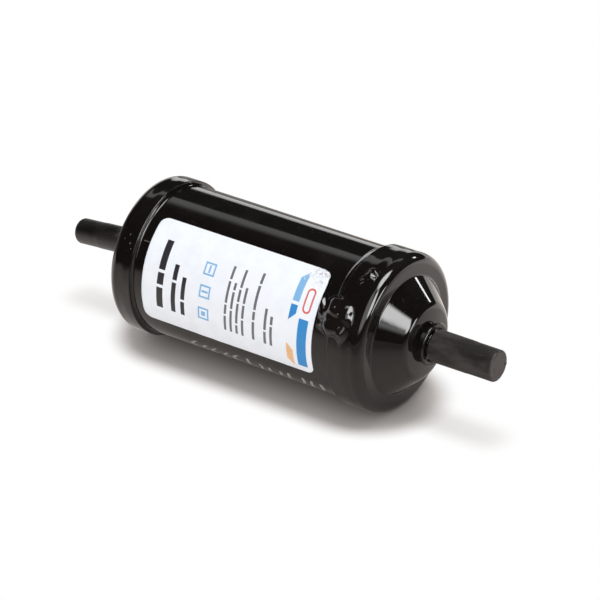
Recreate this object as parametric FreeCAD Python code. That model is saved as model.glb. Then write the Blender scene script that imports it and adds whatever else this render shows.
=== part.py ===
import FreeCAD, Part
import math
import os

# Liquid receiver for a refrigeration circuit: a welded steel vessel with a stub tube at each end.
# Frame: X runs along the vessel from the inlet to the outlet, Z is up, and the origin is the middle
# of the vessel on its axis. Lengths are in millimetres and angles in degrees.

# Vessel
shell_diameter = 63.5
shell_wall = 1.65
vessel_length = 126.4        # over the flat rings of the two end caps
cap_wall = 1.8
cap_slip = 0.05              # radial gap between a cap's skirt and the shell
least_round = 0.2            # inside corners never get sharper than this
inlet_skirt = 11.7           # depth of the inlet cap, from its open edge to its flat ring
outlet_skirt = 15.6
shoulder_round = 4.4
lip_round = 0.45
shell_end_gap = 0.25         # from the shell's end to where the cap's shoulder starts inside
shell_end_bevel = 0.4

# Cone and nose of an end cap
cone_base_diameter = 49.8
cone_foot_round = 1.5
nose_diameter = 31.0
nose_rise = 9.9              # from the flat ring to the corner of the nose
nose_crown = 1.0             # the face of the nose rises this much from its corner to the neck
nose_round = 5.4

# Neck in the middle of the nose
neck_rise = 2.9              # from the face of the nose to the rim
neck_wall = 2.1              # at the rim
neck_root_round = 0.4
neck_rim_round = 0.6
neck_flare = 2.5             # the mouth is this much wider in radius than the tube
neck_land = 1.0              # straight part of the bore above the nose's inner face
tube_slip = 0.05             # radial gap between a tube and its neck
bore_edge_round = 0.4

# Tubes, with a socket for the pipeline pushed out at the outer end
outlet_line = 9.525          # three eighths of an inch
inlet_line = 7.94            # five sixteenths of an inch
tube_wall = 0.8
socket_slip = 0.05           # radial gap between the socket and the pipe that it takes
socket_depth = 9.5
socket_taper = 2.0
taper_round = 1.5
tube_edge_round = 0.2
tube_inside = 7.0            # how far a tube reaches into the vessel past the nose
outlet_reach = 27.8          # how far each tube stands out of its neck, its bend not counted
inlet_reach = 23.8
outlet_bend = 0.0            # how far each tube is bent down, just past the neck
inlet_bend = 5.0
bend_start = 0.2             # from the rim of the neck to where the bend starts
bend_radius = 22.0

# Silver braze in the mouth of each neck
braze_fill = 0.62            # share of the flared mouth that the metal fills at the neck's side
braze_climb = 0.9            # how much higher it stands at the tube
braze_sag = 0.35             # hollow of its surface

# Welds between the skirts and the shell
inlet_weld_leg = 1.5
outlet_weld_leg = 1.4
weld_crown = 0.25            # how far the face of a weld swells

# Dust caps pushed over the tubes
outlet_dust_wall = 1.1       # at the mouth
inlet_dust_wall = 0.8
dust_slip = 0.05
dust_end = 1.7               # thickness of the closed end
dust_end_gap = 0.35          # from the tube's end to the closed end
outlet_dust_end_round = 0.9
inlet_dust_end_round = 2.0
dust_mouth_gap = 0.6         # from the neck's rim to the cap's mouth
dust_mouth_round = 0.3
dust_bore_round = 0.3
dust_draft = 0.2             # the outside is this much slimmer in radius at the closed end
nib_diameter = 1.5
nib_height = 0.8
nib_inset = 1.3              # from the cap's side to the middle of the nib
inlet_nib_angle = 80.0       # direction of each nib, above the front of the vessel
outlet_nib_angle = 190.0

# Label
label_inlet_margin = 5.2     # bare shell between the label and the edge of each skirt
label_outlet_margin = 8.3
label_width = 46.0           # measured round the shell
label_thickness = 0.12
label_glue = 0.05            # adhesive between the label and the shell
label_tilt = 18.6            # direction of its middle, above the front of the vessel
label_corner = 3.6

# Lumps of weld metal at the edge of the outlet skirt: distance from that edge towards the outlet,
# angle above the front, half width and height
weld_lumps = [
    (-3.0, 33.0, 4.6, 2.4),
    (-2.2, 25.0, 4.6, 2.7),
    (1.2, 38.0, 4.0, 1.3),
    (0.9, 29.0, 4.4, 1.9),
    (1.0, 20.0, 4.2, 1.5),
    (4.8, 32.0, 4.8, 2.2),
    (5.4, 24.0, 4.6, 1.9),
    (8.8, 56.5, 2.4, 0.9),
    (8.8, 61.0, 2.2, 0.8),
]

shell_radius = shell_diameter / 2
shell_bore = shell_radius - shell_wall
skirt_bore = shell_radius + cap_slip
skirt_radius = skirt_bore + cap_wall
ring_x = vessel_length / 2
nose_x = ring_x + nose_rise
neck_x = nose_x + nose_crown
inner_neck_x = neck_x - cap_wall
rim_x = neck_x + neck_rise
bend_x = rim_x + bend_start
shell_end = ring_x - max(shoulder_round, cap_wall + least_round) - shell_end_gap
outlet_edge = ring_x - outlet_skirt
inlet_edge = ring_x - inlet_skirt
label_start = label_inlet_margin - inlet_edge
label_end = outlet_edge - label_outlet_margin


def corner_round(before, corner, after, radius):
    """End points and middle of the arc that rounds a corner of a flat outline."""
    to_before = (before - corner).normalize()
    to_after = (after - corner).normalize()
    half = to_before.getAngle(to_after) / 2
    reach = radius / math.tan(half)
    centre_way = (to_before + to_after).normalize()
    centre = corner + centre_way * (radius / math.sin(half))
    return corner + to_before * reach, centre - centre_way * radius, corner + to_after * reach


def outline(corners):
    """Closed wire in the XZ plane from (x, r, round) corners, each rounded by its own radius."""
    points = [FreeCAD.Vector(x, 0, r) for x, r, _ in corners]
    edges = []
    last = None
    first = None
    for i, (_, _, radius) in enumerate(corners):
        if radius > 0:
            start, middle, end = corner_round(points[i - 1], points[i], points[(i + 1) % len(points)], radius)
        else:
            start = end = points[i]
        if last is not None and not last.isEqual(start, 1e-6):
            edges.append(Part.makeLine(last, start))
        if radius > 0:
            edges.append(Part.Arc(start, middle, end).toShape())
        first = first or start
        last = end
    if not last.isEqual(first, 1e-6):
        edges.append(Part.makeLine(last, first))
    return Part.Wire(edges)


def turned(side, wire):
    """Solid turned about X from an outline drawn for the outlet end, mirrored for the inlet."""
    solid = Part.Face(wire).revolve(FreeCAD.Vector(), FreeCAD.Vector(1, 0, 0), 360)
    if side < 0:
        solid = solid.mirror(FreeCAD.Vector(), FreeCAD.Vector(1, 0, 0))
    return solid


def cone_inside():
    """Radii of the inside corners at the foot of the cone and at the nose, one wall below the outside."""
    fall = (cone_base_diameter - nose_diameter) / 2
    inward = cap_wall * (math.hypot(nose_rise, fall) - fall) / nose_rise
    return cone_base_diameter / 2 - inward, nose_diameter / 2 - inward


def neck_radii(line):
    """Bore, mouth and outer radius of the neck for a tube of the given diameter."""
    bore = line / 2 + tube_slip
    mouth = line / 2 + neck_flare
    return bore, mouth, mouth + neck_wall


def inside_round(outside):
    """Radius inside a bend of the drawn cap, one wall less than the radius outside."""
    return max(outside - cap_wall, least_round)


def end_cap(side, edge, line):
    """Drawn steel cap: skirt, rounded shoulder, flat ring, cone, nose and flared neck."""
    bore, mouth, neck = neck_radii(line)
    foot, top = cone_inside()
    inner_ring = ring_x - cap_wall
    inner_nose = nose_x - cap_wall
    return turned(side, outline([
        (edge, skirt_radius, lip_round),
        (ring_x, skirt_radius, shoulder_round),
        (ring_x, cone_base_diameter / 2, cone_foot_round),
        (nose_x, nose_diameter / 2, nose_round),
        (neck_x, neck, neck_root_round),
        (rim_x, neck, neck_rim_round),
        (rim_x, mouth, neck_rim_round),
        (inner_neck_x + neck_land, bore, 0),
        (inner_neck_x, bore, bore_edge_round),
        (inner_nose, top, inside_round(nose_round)),
        (inner_ring, foot, cone_foot_round + cap_wall),
        (inner_ring, skirt_bore, inside_round(shoulder_round)),
        (edge, skirt_bore, lip_round),
    ]))


def shell():
    """Steel tube that the two caps slip over, bevelled outside at both ends."""
    return turned(1, outline([
        (-shell_end, shell_bore, 0),
        (-shell_end, shell_radius - shell_end_bevel, 0),
        (-shell_end + shell_end_bevel, shell_radius, 0),
        (shell_end - shell_end_bevel, shell_radius, 0),
        (shell_end, shell_radius - shell_end_bevel, 0),
        (shell_end, shell_bore, 0),
    ]))


def socket_radii(line):
    """Bore and outer radius of the socket for a pipe of the given diameter."""
    bore = line / 2 + socket_slip
    return bore, bore + tube_wall


def past_bend(side, bend, shape):
    """Turns what was drawn in line with the vessel down with the bent part of its tube."""
    shape.rotate(FreeCAD.Vector(side * bend_x, 0, -bend_radius), FreeCAD.Vector(0, 1, 0), side * bend)
    return shape


def tube_elbow(side, line, bend):
    """Short bend that joins the straight part of a tube in its neck to the part with the socket."""
    start = FreeCAD.Vector(side * bend_x, 0, 0)
    along = FreeCAD.Vector(1, 0, 0)
    rings = [Part.makeCircle(radius, start, along) for radius in (line / 2, line / 2 - tube_wall)]
    section = Part.Face([Part.Wire(ring) for ring in rings])
    return section.revolve(start - FreeCAD.Vector(0, 0, bend_radius), FreeCAD.Vector(0, 1, 0), side * bend)


def stub_tube(side, line, reach, bend):
    """Copper stub whose outer end is widened into a socket."""
    outer = line / 2
    inner = outer - tube_wall
    socket_bore, socket_outer = socket_radii(line)
    end = rim_x + reach
    inside_end = nose_x - cap_wall - tube_inside
    taper_end = end - socket_depth
    taper_start = taper_end - socket_taper
    in_neck = turned(side, outline([
        (inside_end, inner, tube_edge_round),
        (inside_end, outer, tube_edge_round),
        (bend_x, outer, 0),
        (bend_x, inner, 0),
    ]))
    with_socket = past_bend(side, bend, turned(side, outline([
        (bend_x, inner, 0),
        (bend_x, outer, 0),
        (taper_start, outer, taper_round),
        (taper_end, socket_outer, taper_round),
        (end, socket_outer, tube_edge_round),
        (end, socket_bore, tube_edge_round),
        (taper_end, socket_bore, 0),
        (taper_start, inner, taper_round),
    ])))
    pieces = [tube_elbow(side, line, bend), with_socket] if bend else [with_socket]
    return in_neck.fuse(pieces).removeSplitter()


def braze_ring(side, line):
    """Fillet of silver braze between the tube and the flared mouth of the neck."""
    bore, mouth, _ = neck_radii(line)
    bottom_x = inner_neck_x + neck_land
    fill = braze_fill * (rim_x - bottom_x)
    bottom = FreeCAD.Vector(bottom_x, 0, bore)
    at_neck = FreeCAD.Vector(bottom_x + fill, 0, bore + braze_fill * (mouth - bore))
    at_tube = FreeCAD.Vector(bottom_x + fill + braze_climb, 0, line / 2)
    tube_foot = FreeCAD.Vector(bottom_x, 0, line / 2)
    slope = (at_tube - at_neck).normalize()
    hollow = (at_neck + at_tube) / 2 + FreeCAD.Vector(slope.z, 0, -slope.x) * braze_sag
    return turned(side, Part.Wire([
        Part.makeLine(bottom, at_neck),
        Part.Arc(at_neck, hollow, at_tube).toShape(),
        Part.makeLine(at_tube, tube_foot),
        Part.makeLine(tube_foot, bottom),
    ]))


def weld_ring(side, edge, leg):
    """Fillet weld from the skirt's open edge down to the shell, with a swollen face."""
    top = FreeCAD.Vector(edge, 0, skirt_radius - lip_round)
    toe = FreeCAD.Vector(edge - leg, 0, shell_radius)
    root = FreeCAD.Vector(edge, 0, shell_radius)
    slope = (top - toe).normalize()
    crown = (top + toe) / 2 + FreeCAD.Vector(-slope.z, 0, slope.x) * weld_crown
    return turned(side, Part.Wire([
        Part.Arc(toe, crown, top).toShape(),
        Part.makeLine(top, root),
        Part.makeLine(root, toe),
    ]))


def around(x, angle, radius):
    """Point on a circle about the axis, by its angle above the front of the vessel."""
    turn = math.radians(angle)
    return FreeCAD.Vector(x, -radius * math.cos(turn), radius * math.sin(turn))


def lump(past_edge, angle, half_width, height):
    """Ball of weld metal that stands out of the skirt or the shell as a low mound."""
    seat = shell_radius if past_edge < 0 else skirt_radius
    radius = (half_width ** 2 + height ** 2) / (2 * height)
    return Part.makeSphere(radius, around(outlet_edge + past_edge, angle, seat + height - radius))


def outlet_weld():
    """Outlet weld and the lumps beside it, trimmed to the shell and the cap that they lie on."""
    metal = weld_ring(1, outlet_edge, outlet_weld_leg)
    for sizes in weld_lumps:
        metal = metal.fuse(lump(*sizes))
    return metal.cut(turned(1, outline([
        (0, 0, 0),
        (0, shell_radius, 0),
        (outlet_edge, shell_radius, 0),
        (outlet_edge, skirt_radius, lip_round),
        (ring_x, skirt_radius, shoulder_round),
        (ring_x, 0, 0),
    ])))


def dust_cap(side, line, reach, bend, wall, end_round, nib_angle):
    """Moulded cap with a closed end and a small moulding nib, a push fit on the tube's socket."""
    bore = socket_radii(line)[1] + dust_slip
    outer = bore + wall
    mouth_x = rim_x + dust_mouth_gap - math.radians(bend) * bend_radius
    floor_x = rim_x + reach + dust_end_gap
    tip_x = floor_x + dust_end
    body = turned(side, outline([
        (tip_x, 0, 0),
        (floor_x, 0, 0),
        (floor_x, bore, dust_bore_round),
        (mouth_x, bore, dust_mouth_round),
        (mouth_x, outer, dust_mouth_round),
        (tip_x, outer - dust_draft, end_round),
    ]))
    foot = around(side * (tip_x - nib_height), nib_angle, outer - dust_draft - max(end_round, nib_inset))
    nib = Part.makeCylinder(nib_diameter / 2, 2 * nib_height, foot, FreeCAD.Vector(side, 0, 0))
    return past_bend(side, bend, body.fuse(nib))


def corner_waste(x, angle, turn):
    """What is trimmed off a square corner of the label, to leave it round about a point."""
    side = 2 * label_corner
    low = FreeCAD.Vector(0, 0, -side / 2)
    waste = Part.makeBox(side, side, side, low).cut(Part.makeCylinder(label_corner, side, low))
    waste.rotate(FreeCAD.Vector(), FreeCAD.Vector(0, 0, 1), turn)
    waste.rotate(FreeCAD.Vector(), FreeCAD.Vector(1, 0, 0), 90 - angle)
    waste.translate(around(x, angle, shell_radius))
    return waste


def label():
    """Thin sheet with rounded corners, wrapped on the front of the shell."""
    along = FreeCAD.Vector(1, 0, 0)
    start = FreeCAD.Vector(label_start, 0, 0)
    label_length = label_end - label_start
    half_span = math.degrees(label_width / shell_radius) / 2
    back = shell_radius + label_glue
    sheet = Part.makeCylinder(back + label_thickness, label_length, start, along, 2 * half_span)
    sheet = sheet.cut(Part.makeCylinder(back, label_length, start, along))
    sheet.rotate(FreeCAD.Vector(), along, 90 - label_tilt - half_span)
    corner_span = half_span - math.degrees(label_corner / shell_radius)
    left = label_start + label_corner
    right = label_end - label_corner
    low = label_tilt - corner_span
    high = label_tilt + corner_span
    for x, angle, turn in ((right, high, 0), (left, high, 90), (left, low, 180), (right, low, 270)):
        sheet = sheet.cut(corner_waste(x, angle, turn))
    return sheet


def main():
    os.makedirs("parts", exist_ok=True)
    parts = {
        "shell": shell(),
        "inlet_end_cap": end_cap(-1, inlet_edge, inlet_line),
        "outlet_end_cap": end_cap(1, outlet_edge, outlet_line),
        "inlet_weld": weld_ring(-1, inlet_edge, inlet_weld_leg),
        "outlet_weld": outlet_weld(),
        "inlet_tube": stub_tube(-1, inlet_line, inlet_reach, inlet_bend),
        "outlet_tube": stub_tube(1, outlet_line, outlet_reach, outlet_bend),
        "inlet_braze": braze_ring(-1, inlet_line),
        "outlet_braze": braze_ring(1, outlet_line),
        "inlet_dust_cap": dust_cap(
            -1, inlet_line, inlet_reach, inlet_bend, inlet_dust_wall, inlet_dust_end_round,
            inlet_nib_angle),
        "outlet_dust_cap": dust_cap(
            1, outlet_line, outlet_reach, outlet_bend, outlet_dust_wall, outlet_dust_end_round,
            outlet_nib_angle),
        "label": label(),
    }
    for node, shape in parts.items():
        shape.exportStep(os.path.join("parts", node + ".step"))
        print(node, "solids", len(shape.Solids), "valid", shape.isValid(), "volume", round(shape.Volume, 1))


main()
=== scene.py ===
import math

import bpy
import numpy as np
from mathutils import Matrix, Vector


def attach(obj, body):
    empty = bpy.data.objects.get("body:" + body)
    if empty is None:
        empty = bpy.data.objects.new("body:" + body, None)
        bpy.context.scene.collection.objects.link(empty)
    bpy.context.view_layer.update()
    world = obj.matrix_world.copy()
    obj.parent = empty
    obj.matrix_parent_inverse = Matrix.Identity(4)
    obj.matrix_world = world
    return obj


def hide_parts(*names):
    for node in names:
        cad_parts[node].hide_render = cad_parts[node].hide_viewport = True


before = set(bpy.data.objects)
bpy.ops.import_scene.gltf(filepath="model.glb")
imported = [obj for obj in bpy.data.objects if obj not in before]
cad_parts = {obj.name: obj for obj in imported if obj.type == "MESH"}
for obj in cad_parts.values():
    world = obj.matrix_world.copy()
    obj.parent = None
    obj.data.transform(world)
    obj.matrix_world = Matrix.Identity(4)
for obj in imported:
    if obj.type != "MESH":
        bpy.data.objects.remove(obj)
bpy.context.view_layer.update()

# Lengths of the pieces are in millimetres, as in the part's own source, and are turned into metres where
# a mesh is made. Lengths in the materials, the floor and the lamps are in metres. X runs along the vessel
# to the outlet, Z is up, and the label faces -Y.
MM = 0.001

# Vessel
SHELL_R = 31.75
SHELL_WALL = 1.65
CAP_WALL = 1.8
SKIRT_R = 33.6
SKIRT_BORE = 31.8
RING_X = 63.2
INLET_EDGE = 51.5
OUTLET_EDGE = 47.6
SHOULDER_ROUND = 4.4
LIP_ROUND = 0.45
CONE_R = 24.9
CONE_FOOT_ROUND = 1.5
NOSE_R = 15.5
NOSE_X = 73.1
NOSE_ROUND = 5.4
NECK_X = 74.1
RIM_X = 77.0
NECK_FLARE = 2.5
NECK_WALL = 2.1
NECK_DRAFT = 1.15
NECK_RIM_ROUND = 0.6
NECK_LAND = 1.0
BORE_EDGE_ROUND = 0.4
SHELL_END = 58.55
SHELL_BEVEL = 0.4

# Tubes, braze and dust caps
OUTLET_LINE = 9.525
INLET_LINE = 7.94
TUBE_WALL = 0.8
TUBE_SLIP = 0.05
TUBE_INSIDE = 7.0
TUBE_EDGE_ROUND = 0.2
SOCKET_SLIP = 0.05
SOCKET_DEPTH = 9.5
SOCKET_TAPER = 2.0
TAPER_ROUND = 1.5
OUTLET_REACH = 27.8
INLET_REACH = 23.8
INLET_BEND = 5.0
BEND_X = 77.2
BEND_RADIUS = 22.0
BRAZE_FILL = 0.62
BRAZE_CLIMB = 0.9
# A dust cap: radial gap over the socket, gap between the neck's rim and its mouth, play past the tube's
# end, and how thick its end is
DUST_CAP_SLIP = 0.05
DUST_CAP_GAP = 0.6
DUST_CAP_PLAY = 0.35
DUST_CAP_END = 1.7
NIB_R = 0.8

# Label
LABEL_X = (-46.3, 39.3)
LABEL_WIDTH = 46.0
LABEL_TILT = 18.6
LABEL_BACK = 0.05
LABEL_THICK = 0.12
LABEL_CORNER = 3.6

# How thick print is, and how far above the label's lower edge its lines start
PRINT_THICK = 0.012
PRINT_LOW = 8.0

FLOOR_Z = -SKIRT_R - 0.02
TURNS = 256


# Meshes

def unit(v):
    return v / np.linalg.norm(v)


def signed_area(points):
    """Twice the area inside a closed outline, above 0 where the outline runs anticlockwise."""
    return sum(
        points[i - 1][0] * points[i][1] - points[i][0] * points[i - 1][1] for i in range(len(points))
    )


def outline(corners, steps):
    """Closed outline of (x, r, round) corners: its points, and the normals before and after each."""
    points = [np.array(c[:2], float) for c in corners]
    count = len(points)
    side = 1 if signed_area(points) > 0 else -1
    out, before, after = [], [], []
    for i in range(count):
        a = unit(points[i] - points[i - 1])
        b = unit(points[(i + 1) % count] - points[i])
        na = side * np.array([a[1], -a[0]])
        nb = side * np.array([b[1], -b[0]])
        turn = math.atan2(a[0] * b[1] - a[1] * b[0], a @ b)
        radius = corners[i][2]
        if radius <= 0 or abs(turn) < 1e-6:
            out.append(points[i])
            before.append(na)
            after.append(nb)
            continue
        bulge = 1 if turn * side > 0 else -1
        centre = points[i] - a * (radius * math.tan(abs(turn) / 2)) - na * (radius * bulge)
        for k in range(steps + 1):
            t = turn * k / steps
            n = np.array([
                na[0] * math.cos(t) - na[1] * math.sin(t),
                na[0] * math.sin(t) + na[1] * math.cos(t),
            ])
            out.append(centre + n * (radius * bulge))
            before.append(n)
            after.append(n)
    return np.array(out), np.array(before), np.array(after)


def new_object(name, verts, faces, normals=None, smooth=True):
    mesh = bpy.data.meshes.new(name)
    mesh.from_pydata((np.asarray(verts) * MM).tolist(), [], faces)
    mesh.polygons.foreach_set("use_smooth", [smooth] * len(mesh.polygons))
    if normals is not None:
        mesh.normals_split_custom_set(normals)
    mesh.update()
    obj = bpy.data.objects.new(name, mesh)
    bpy.context.scene.collection.objects.link(obj)
    return obj


def around(x, r, angle):
    """Points at x along the vessel and radius r from its axis. The angle is 0 at the front and turns up."""
    return np.stack([x, -r * np.cos(angle), r * np.sin(angle)], -1)


def full_turn(steps):
    return np.arange(steps) * (2 * math.pi / steps)


def ring_faces(count, turns, side):
    """Faces of a closed solid round the axis, from its rings of points in order. Side is 1 at the outlet
    and -1 at the inlet."""
    faces = []
    for i in range(count):
        j = (i + 1) % count
        for k in range(turns):
            m = (k + 1) % turns
            quad = [i * turns + k, j * turns + k, j * turns + m, i * turns + m]
            faces.append(quad if side < 0 else quad[::-1])
    return faces


def sheet_faces(rows, cols):
    """Faces of a thin closed sheet, from its upper grid of points and then its lower one."""
    index = np.arange(rows * cols).reshape(rows, cols)
    low = index + rows * cols
    corners = [
        (index[:-1, :-1], index[:-1, 1:], index[1:, 1:], index[1:, :-1]),
        (low[:-1, :-1], low[1:, :-1], low[1:, 1:], low[:-1, 1:]),
    ]
    rim = [
        (index[0], low[0]),
        (index[:, -1], low[:, -1]),
        (index[-1, ::-1], low[-1, ::-1]),
        (index[::-1, 0], low[::-1, 0]),
    ]
    faces = []
    for quad in corners:
        faces += np.stack(quad, -1).reshape(-1, 4).tolist()
    for upper, lower in rim:
        faces += np.stack([upper[:-1], lower[:-1], lower[1:], upper[1:]], -1).tolist()
    return faces


def bent(side, bend, verts):
    """Bends down by an angle in degrees what was drawn in line with the vessel, past the neck, and gives
    the angle in radians that each point was turned by."""
    verts = np.array(verts, float)
    full = math.radians(bend)
    past = side * verts[:, 0] - BEND_X
    turn = np.clip(past / BEND_RADIUS, 0, full)
    along = np.minimum(past, 0) + np.maximum(past - full * BEND_RADIUS, 0)
    high = verts[:, 2] + BEND_RADIUS
    verts[:, 0] = side * (BEND_X + along * np.cos(turn) + high * np.sin(turn))
    verts[:, 2] = high * np.cos(turn) - along * np.sin(turn) - BEND_RADIUS
    return verts, turn


def lathe(name, side, corners, steps=10, turns=TURNS, bend=0.0):
    """Closed solid turned about X from an outline drawn for the outlet end; side -1 mirrors it."""
    points, before, after = outline(corners, steps)
    count = len(points)
    angle = full_turn(turns)
    ring_y, ring_z = -np.cos(angle), np.sin(angle)
    verts, first = [], []
    for x, r in points:
        first.append(len(verts))
        if r < 1e-6:
            verts.append((side * x, 0, 0))
        else:
            verts.extend(zip([side * x] * turns, r * ring_y, r * ring_z))
    flip = (signed_area(points) > 0) == (side > 0)
    faces, normals = [], []
    for i in range(count):
        j = (i + 1) % count
        flat_i, flat_j = points[i][1] < 1e-6, points[j][1] < 1e-6
        if flat_i and flat_j or np.linalg.norm(points[i] - points[j]) < 1e-7:
            continue
        for k in range(turns):
            m = (k + 1) % turns
            quad = [(i, k, after[i]), (j, k, before[j]), (j, m, before[j]), (i, m, after[i])]
            if flat_j:
                quad.pop(2)
            elif flat_i:
                quad.pop(3)
            if flip:
                quad.reverse()
            faces.append([first[p] + (0 if points[p][1] < 1e-6 else q) for p, q, _ in quad])
            normals.extend((side * n[0], n[1] * ring_y[q], n[1] * ring_z[q]) for _, q, n in quad)
    if bend:
        verts, turn = bent(side, bend, verts)
        corner_turn = turn[[i for face in faces for i in face]]
        normals = np.array(normals)
        x, z = side * normals[:, 0], normals[:, 2].copy()
        normals[:, 0] = side * (x * np.cos(corner_turn) + z * np.sin(corner_turn))
        normals[:, 2] = z * np.cos(corner_turn) - x * np.sin(corner_turn)
    return new_object(name, verts, faces, normals)


def wrapped(x, s, r):
    """Points at radius r of the sheet coordinates x along the vessel and s round it, from the label's
    lower edge upwards on the shell."""
    return around(x, r, np.radians(LABEL_TILT) + (s - LABEL_WIDTH / 2) / SHELL_R)


def slab(x, s, top, bottom):
    """Vertices and faces of a thin closed sheet over a grid of sheet coordinates."""
    verts = np.concatenate([
        wrapped(x, s, top).reshape(-1, 3),
        wrapped(x, s, bottom).reshape(-1, 3),
    ])
    return verts, sheet_faces(*x.shape)


def joined(parts):
    """Vertices and faces of several meshes as one."""
    verts, faces, start = [], [], 0
    for v, f in parts:
        verts.append(v)
        faces += [[start + i for i in face] for face in f]
        start += len(v)
    return np.concatenate(verts), faces


def waves(x, s, seed, scale, octaves=3):
    """Smooth irregular height between about -1 and 1, from a few sine waves."""
    rng = np.random.default_rng(seed)
    total = np.zeros_like(x, float)
    weight = 0.0
    for octave in range(octaves):
        fade = 1.7 ** octave
        for _ in range(4):
            turn = rng.uniform(0, 2 * math.pi)
            size = scale * rng.uniform(0.7, 1.3) / 1.9 ** octave
            phase = rng.uniform(0, 2 * math.pi)
            along = x * math.cos(turn) + s * math.sin(turn)
            total += np.sin(along * (2 * math.pi / size) + phase) / fade
        weight += 2 / fade
    return total / weight


# Materials

def material(name, **sockets):
    """Material with a Principled shader whose constant inputs are set directly."""
    mat = bpy.data.materials.new(name)
    mat.use_nodes = True
    shader = mat.node_tree.nodes["Principled BSDF"]
    for key, value in sockets.items():
        shader.inputs[key.replace("_", " ")].default_value = value
    return mat, mat.node_tree, shader


def add(tree, kind, links=None, **settings):
    """Node with settings and inputs; an input is a value or another node's output."""
    node = tree.nodes.new(kind)
    for key, value in settings.items():
        setattr(node, key, value)
    for key, value in (links or {}).items():
        if isinstance(value, bpy.types.NodeSocket):
            tree.links.new(value, node.inputs[key])
        else:
            node.inputs[key].default_value = value
    return node


def noise(tree, vector, scale, detail=3.0, roughness=0.55, distortion=0.0):
    return add(tree, "ShaderNodeTexNoise", {
        "Vector": vector, "Scale": scale, "Detail": detail, "Roughness": roughness, "Distortion": distortion,
    }).outputs["Fac"]


def ramp(tree, fac, low, high, start=0.0, end=1.0):
    return add(tree, "ShaderNodeMapRange", {
        "Value": fac, "From Min": low, "From Max": high, "To Min": start, "To Max": end,
    }, interpolation_type="SMOOTHSTEP").outputs["Result"]


def maths(tree, operation, a, b=0.0):
    return add(tree, "ShaderNodeMath", {0: a, 1: b}, operation=operation).outputs[0]


def mixed(tree, fac, a, b):
    """Mix of two colours. The node's colour inputs are 6 and 7, and its colour output is 2."""
    node = add(tree, "ShaderNodeMix", data_type="RGBA")
    for index, value in ((0, fac), (6, a), (7, b)):
        if isinstance(value, bpy.types.NodeSocket):
            tree.links.new(value, node.inputs[index])
        elif index == 0:
            node.inputs[0].default_value = value
        else:
            node.inputs[index].default_value = (*value, 1)
    return node.outputs[2]


def bump(tree, height, distance, normal=None):
    links = {"Height": height, "Distance": distance, "Strength": 1.0}
    if normal is not None:
        links["Normal"] = normal
    return add(tree, "ShaderNodeBump", links).outputs["Normal"]


def place(tree):
    return add(tree, "ShaderNodeTexCoord").outputs["Object"]


def part_of(tree, vector, axis):
    return add(tree, "ShaderNodeSeparateXYZ", {"Vector": vector}).outputs[axis]


def size_of(tree, vector, axis):
    return maths(tree, "ABSOLUTE", part_of(tree, vector, axis))


# Distances from the middle of the vessel between which the heave of a cap's skirt, the scuffs on a dust
# cap and the paint on a tube set in, and the middle of the label's worn corner
HEAVED = (0.0590, 0.0545)
SCUFFED = (0.0845, 0.0800)
PAINT_END = (0.0806, 0.0802)
WORN_CORNER = (0.0365, -0.0172, 0.0272)


def enamel(name, peel=1.0, scuffs=1.0, heave=0.0):
    """Gloss black enamel: orange peel, a film of dust and a few fine scuffs, over metal that welding
    heaved next to the skirt's edge."""
    mat, tree, shader = material(name, IOR=1.53)
    at = place(tree)
    dusty = ramp(tree, noise(tree, at, 55, 4), 0.42, 0.72)
    specks = add(tree, "ShaderNodeTexVoronoi", {"Vector": at, "Scale": 700.0}).outputs["Distance"]
    patches = ramp(tree, noise(tree, at, 160, 2), 0.60, 0.68)
    speck = maths(tree, "MULTIPLY", ramp(tree, specks, 0.10, 0.05), patches)
    stretched = add(tree, "ShaderNodeMapping", {
        "Vector": at, "Rotation": (0.5, 0.3, 0.9), "Scale": (1, 14, 2),
    }).outputs["Vector"]
    scratch = ramp(tree, noise(tree, stretched, 210, 2), 0.71, 0.75, 0, 0.5 * scuffs)
    colour = mixed(tree, dusty, (0.0060, 0.0049, 0.0044), (0.0098, 0.0084, 0.0076))
    colour = mixed(tree, speck, colour, (0.10, 0.095, 0.09))
    colour = mixed(tree, scratch, colour, (0.035, 0.034, 0.033))
    tree.links.new(colour, shader.inputs["Base Color"])
    gloss = ramp(tree, noise(tree, at, 90, 5, 0.6), 0.3, 0.75, 0.035, 0.10)
    rough = maths(tree, "ADD", gloss, maths(tree, "MULTIPLY", maths(tree, "MAXIMUM", speck, scratch), 0.4))
    tree.links.new(rough, shader.inputs["Roughness"])
    peel_height = noise(tree, at, 520, 2, 0.5)
    sag = noise(tree, at, 75, 1, 0.4)
    normal = bump(tree, sag, 0.00002 * peel)
    if heave:
        skirt = ramp(tree, size_of(tree, at, "X"), *HEAVED)
        heaved = maths(tree, "MULTIPLY", noise(tree, at, 105, 1, 0.4), skirt)
        normal = bump(tree, heaved, heave, normal)
    normal = bump(tree, peel_height, 0.000004 * peel, normal)
    normal = bump(tree, speck, 0.00003, normal)
    tree.links.new(normal, shader.inputs["Normal"])
    return mat


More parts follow.
